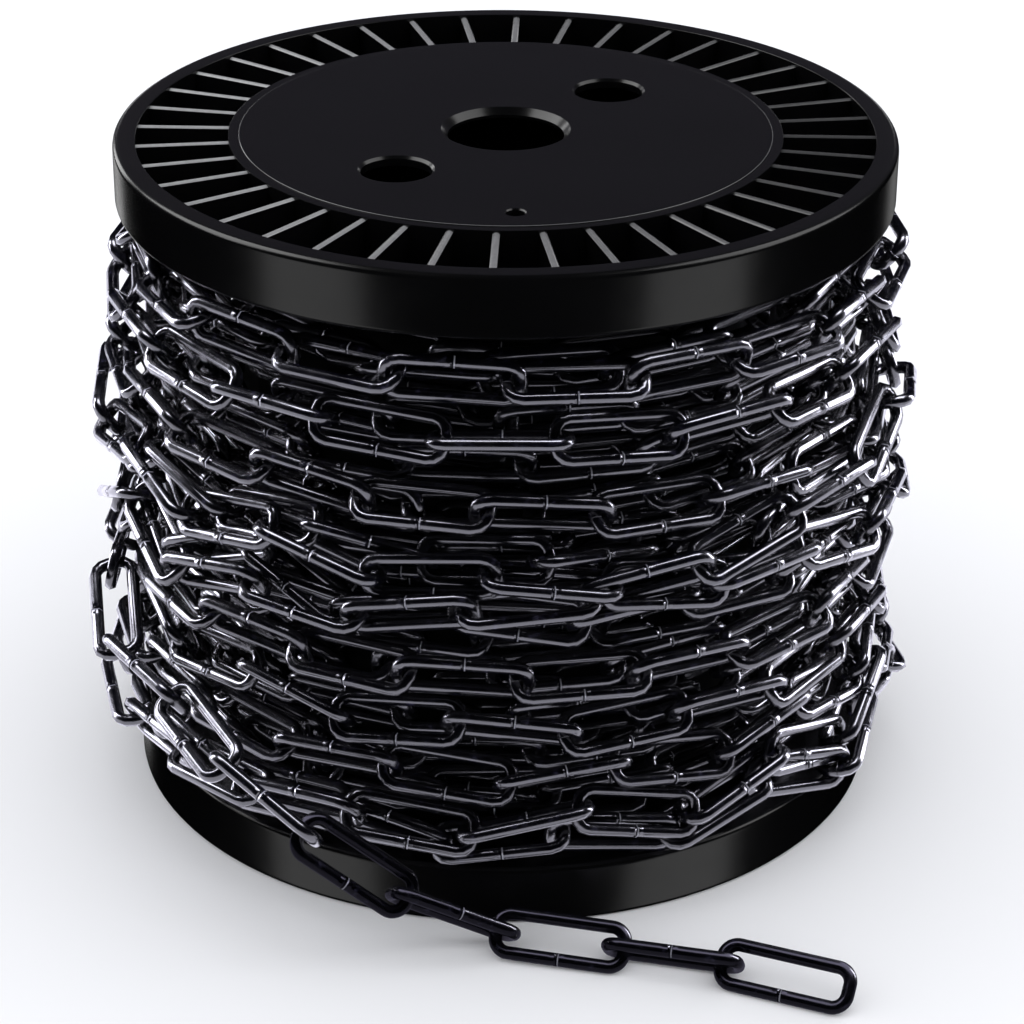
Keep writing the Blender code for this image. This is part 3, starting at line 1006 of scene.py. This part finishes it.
def chain_coating():
    """Gloss black coat on steel wire, with a weld seam, a painted highlight beside it and its collar on
    one side of each link.
    """
    material, shader = new_material("black_chain_coat", COAT_BLACK, roughness=0.25)
    links = material.node_tree.links
    wear = noise(material, scale=420.0, detail=6.0, roughness=0.65)
    patches = spread(material, wear, from_low=0.58, from_high=0.80)
    coat = tint(material, patches, COAT_DARK, COAT_BLUISH)
    gloss = spread(material, noise(material, scale=200.0, detail=3.0), low=0.16, high=0.26)
    links.new(gloss, shader.inputs["Roughness"])

    from_weld = carried(material, "from_weld")
    # Painted highlight: a grey band of base colour on one side of the weld seam
    across_seam = spread(material, from_weld, from_low=SEAM_START, from_high=SEAM_END)
    seam = profile(material, across_seam, SEAM_STOPS, end=0.0)
    links.new(blend(material, seam, coat, WELD_SEAM_HIGHLIGHT_GREY), shader.inputs["Base Color"])
    away = calculate(material, "ABSOLUTE", from_weld)
    beside_seam = spread(material, away, high=0.9, from_low=0.00008, from_high=0.00025)
    links.new(beside_seam, shader.inputs["Specular IOR Level"])

    down_collar = spread(material, away, from_low=0.0, from_high=COLLAR_REACH)
    collar = bump(material, profile(material, down_collar, COLLAR_STOPS, end=0.3),
                  distance=COLLAR_HEIGHT, strength=1.0)
    dents = noise(material, scale=380.0, detail=2.0)
    links.new(bump(material, dents, distance=0.00010, strength=0.25, under=collar),
              shader.inputs["Normal"])
    return material


def pale_floor():
    """Plain pale floor, wide enough for every view."""
    bpy.ops.mesh.primitive_plane_add(size=FLOOR_SIZE)
    floor = new_piece("floor")
    material, shader = new_material("pale_floor", FLOOR_GREY, roughness=0.9)
    clouds = tint(material, noise(material, scale=3.0, detail=2.0), FLOOR_DARK, FLOOR_LIGHT)
    material.node_tree.links.new(clouds, shader.inputs["Base Color"])
    shader.inputs["Specular IOR Level"].default_value = 0.0
    floor.data.materials.append(material)
    floor.visible_glossy = False
    floor.visible_shadow = False


def pale_room():
    """Even pale surroundings, which the gloss of the object doesn't mirror."""
    world = bpy.data.worlds.new("pale_room")
    bpy.context.scene.world = world
    world.use_nodes = True
    background = world.node_tree.nodes["Background"]
    background.inputs["Color"].default_value = (*ROOM_COLOUR, 1)
    background.inputs["Strength"].default_value = ROOM_STRENGTH
    world.cycles_visibility.glossy = False


def softbox(name, azimuth, elevation, width, height, power, colour, lit, distance=LIGHT_DISTANCE):
    """Area light that faces the middle of the reel and lights one collection of pieces."""
    light = bpy.data.lights.new(name, "AREA")
    light.shape = "RECTANGLE"
    light.size = width
    light.size_y = height
    light.energy = power
    light.color = colour
    lamp = bpy.data.objects.new(name, light)
    bpy.context.collection.objects.link(lamp)
    swing, rise = math.radians(azimuth), math.radians(elevation)
    back = Vector((math.cos(rise) * math.cos(swing), math.cos(rise) * math.sin(swing),
                   math.sin(rise)))
    aim = AXIS + Vector((0, 0, REEL_HEIGHT / 2))
    facing = back.to_track_quat("Z", "Y").to_matrix().to_4x4()
    lamp.matrix_world = Matrix.Translation(aim + back * distance) @ facing
    lamp.visible_camera = False
    lamp.light_linking.receiver_collection = lit


def pieces_lit(name, *first_words):
    """Collection of the pieces whose names start with a word, for lights that only they need."""
    group = bpy.data.collections.new(name)
    for piece in bpy.data.objects:
        if piece.type == "MESH" and piece.name.split("_")[0] in first_words:
            group.objects.link(piece)
    return group


def set_lights():
    """Strips and panels round the reel, which draw the bands of light on plastic and wire."""
    chain = pieces_lit("lit_chain", "wound", "hanging")
    tail = pieces_lit("lit_tail", "lying")
    reel = pieces_lit("lit_reel", "moulded")
    # Azimuth and elevation in degrees, width, height, power in watts, colour, pieces, distance
    lights = (
        ("left_rim_strip", -145, -25, 0.58, 0.90, 1.45, WHITE, reel),
        ("right_rim_strip", -35, -25, 0.58, 0.90, 1.45, WHITE, reel),
        ("left_end_strip", 119, -20, 0.25, 0.50, 0.30, WHITE, reel),
        ("right_end_strip", 61, -19, 0.25, 0.40, 0.10, WHITE, reel),
        ("left_edge_panel", 165, 45, 0.90, 0.80, 7.4, WHITE, reel),
        ("right_edge_panel", 7, 46, 0.90, 0.80, 4.6, WHITE, reel),
        ("left_side_panel", 130, 12, 0.30, 0.40, 1.1, WHITE, reel),
        ("disc_panel", 90, 26, 1.8, 1.0, 0.40, VIOLET, reel),
        ("left_low_panel", 108, 8.5, 0.16, 0.16, 0.10, WHITE, reel),
        ("right_low_panel", 72, 8.5, 0.16, 0.16, 0.10, WHITE, reel),
        ("table_glow", -90, -90, 1.6, 1.6, 21, BLUE, chain, GLOW_DISTANCE),
        ("overhead_panel", 90, 86, 1.2, 0.5, 36, BLUE, chain),
        ("left_back_strip", 160, 12, 0.25, 1.0, 24, BLUE, chain),
        ("right_back_strip", 20, 12, 0.25, 1.0, 24, BLUE, chain),
        ("tail_table_glow", -90, -90, 1.6, 1.6, 1.3, DEEP_VIOLET, tail, GLOW_DISTANCE),
        ("tail_overhead_panel", 90, 70, 2.4, 2.0, 30, DEEP_VIOLET, tail),
        ("tail_right_strip", 20, 22, 0.25, 0.8, 14, BLUE, tail),
    )
    for light in lights:
        softbox(*light)


def set_camera():
    """Camera at the photograph's viewing angle."""
    data = bpy.data.cameras.new("camera")
    camera = bpy.data.objects.new("camera", data)
    bpy.context.collection.objects.link(camera)
    data.sensor_width = SENSOR_MM
    data.lens = LENS_MM
    back = Vector((0, -math.cos(CAMERA_ELEVATION), math.sin(CAMERA_ELEVATION)))
    up = Vector((0, math.sin(CAMERA_ELEVATION), math.cos(CAMERA_ELEVATION)))
    basis = Matrix((Vector((1, 0, 0)), up, back)).transposed().to_4x4()
    place = Matrix.Translation(CAMERA_TARGET + CAMERA_DISTANCE * back)
    camera.matrix_world = place @ basis @ Matrix.Rotation(CAMERA_ROLL, 4, "Z")
    bpy.context.scene.camera = camera
    bpy.context.scene.view_settings.view_transform = "Standard"


bpy.ops.object.select_all(action="DESELECT")
place_flanges(moulded_plastic())
colour_barrel(tube_plastic())
wind_chain(chain_coating())
pale_floor()
pale_room()
set_lights()
set_camera()
